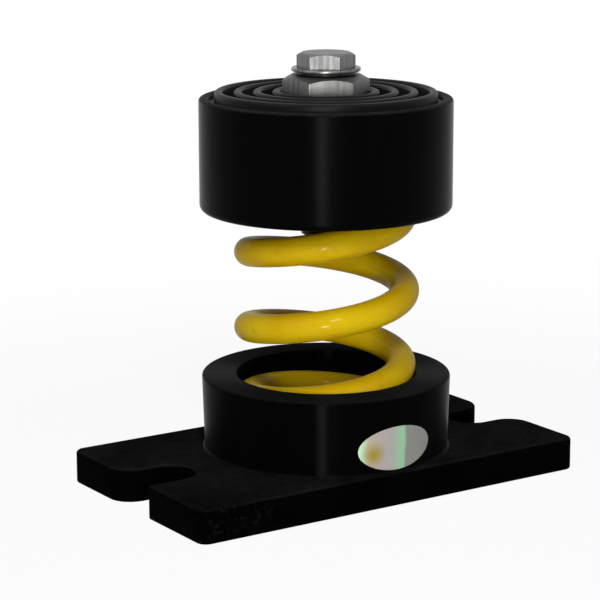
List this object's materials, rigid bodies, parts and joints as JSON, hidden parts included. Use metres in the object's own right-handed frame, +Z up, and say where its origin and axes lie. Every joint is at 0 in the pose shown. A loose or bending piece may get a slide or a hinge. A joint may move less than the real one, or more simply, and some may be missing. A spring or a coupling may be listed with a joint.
{
  "type": "spring vibration isolator",
  "caption": "Open spring vibration isolator: slotted rubber-clad base, coil spring between two cups, and a leveling screw with a clamping bolt on top.",
  "frame": {"origin": "centre of the base's underside", "axes": "+X along the base through both slots, +Y across the base away from the label, +Z up along the spring"},
  "size_m": [0.16, 0.09, 0.1544],
  "materials": {
    "black_rubber": "satin",
    "ridged_rubber": "matte",
    "yellow_coating": "glossy",
    "plain_steel": "satin",
    "zinc_steel": "zinc plated",
    "foil": "foil"
  },
  "bodies": {
    "base": {"base_housing": "black_rubber", "oval_label": "foil", "coil_spring": "yellow_coating"},
    "top": {"top_housing": "black_rubber", "top_pad": "ridged_rubber", "load_plate": "plain_steel"},
    "washer": {"flat_washer": "zinc_steel", "lock_washer": "plain_steel"},
    "screw": {"leveling_screw": "zinc_steel", "cap_bolt": "zinc_steel"}
  },
  "joints": [
    {"name": "spring_travel", "type": "slide", "parent": "base", "child": "top", "axis": [0, 0, 1], "range_m": [-0.025, 0], "stiffness_N_per_m": 195000, "deforming": ["coil_spring"]},
    {"name": "screw_rise", "type": "slide", "parent": "top", "child": "washer", "axis": [0, 0, 1], "range_m": [0, 0.015]},
    {"name": "screw_turn", "type": "hinge", "parent": "washer", "child": "screw", "pos_m": [0, 0, 0.1466], "axis": [0, 0, 1], "range_deg": [0, 2160]}
  ],
  "couplings": [
    {"joint": "screw_turn", "follows": "screw_rise", "rad_per_m": 2513.3}
  ]
}
